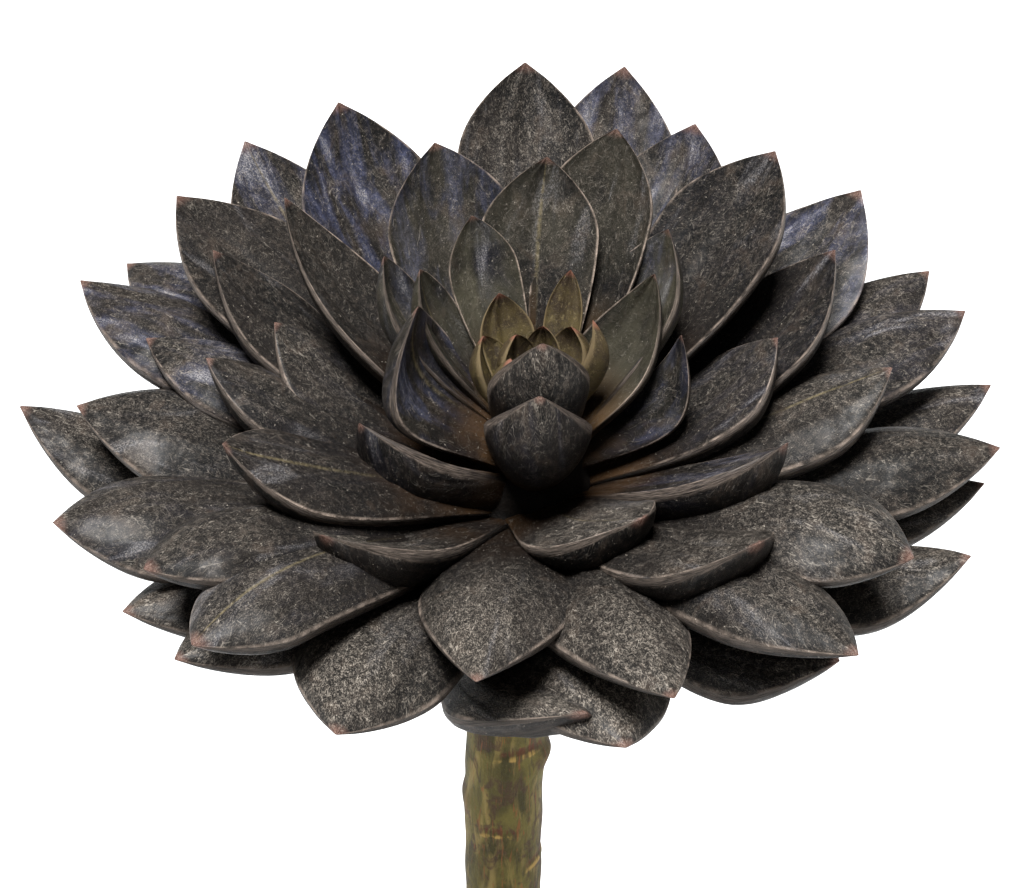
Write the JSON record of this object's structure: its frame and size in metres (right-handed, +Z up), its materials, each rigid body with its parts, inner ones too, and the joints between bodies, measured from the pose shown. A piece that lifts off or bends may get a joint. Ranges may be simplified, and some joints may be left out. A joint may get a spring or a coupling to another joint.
{
  "type": "potted aeonium",
  "caption": "Flat-topped rosette of thick, pointed, near-black succulent leaves on a bare woody stem, planted in a plain round terracotta pot of soil.",
  "frame": {"origin": "centre of the pot's underside, on the surface that it stands on", "axes": "+Z up through the pot and along the stem; -Y faces the side of the rosette that opens towards the viewer; +X to the viewer's right"},
  "size_m": [0.1954, 0.1631, 0.3584],
  "materials": {
    "dark_leaf": "waxy near-black leaf with a dusty bloom, finely speckled and fibrous",
    "heart_leaf": "smooth olive-green young leaf with reddish edges",
    "stem_bark": "matt olive-green bark with tan and red-brown streaks and leaf scars",
    "terracotta": "unglazed, dry and finely grained, with pale mineral bloom",
    "soil": "damp dark potting soil, crumbly, with pale grit"
  },
  "bodies": {
    "root": {"dark_leaves": "dark_leaf", "heart_leaves": "heart_leaf", "stem": "stem_bark", "pot": "terracotta", "soil": "soil"}
  },
  "joints": []
}
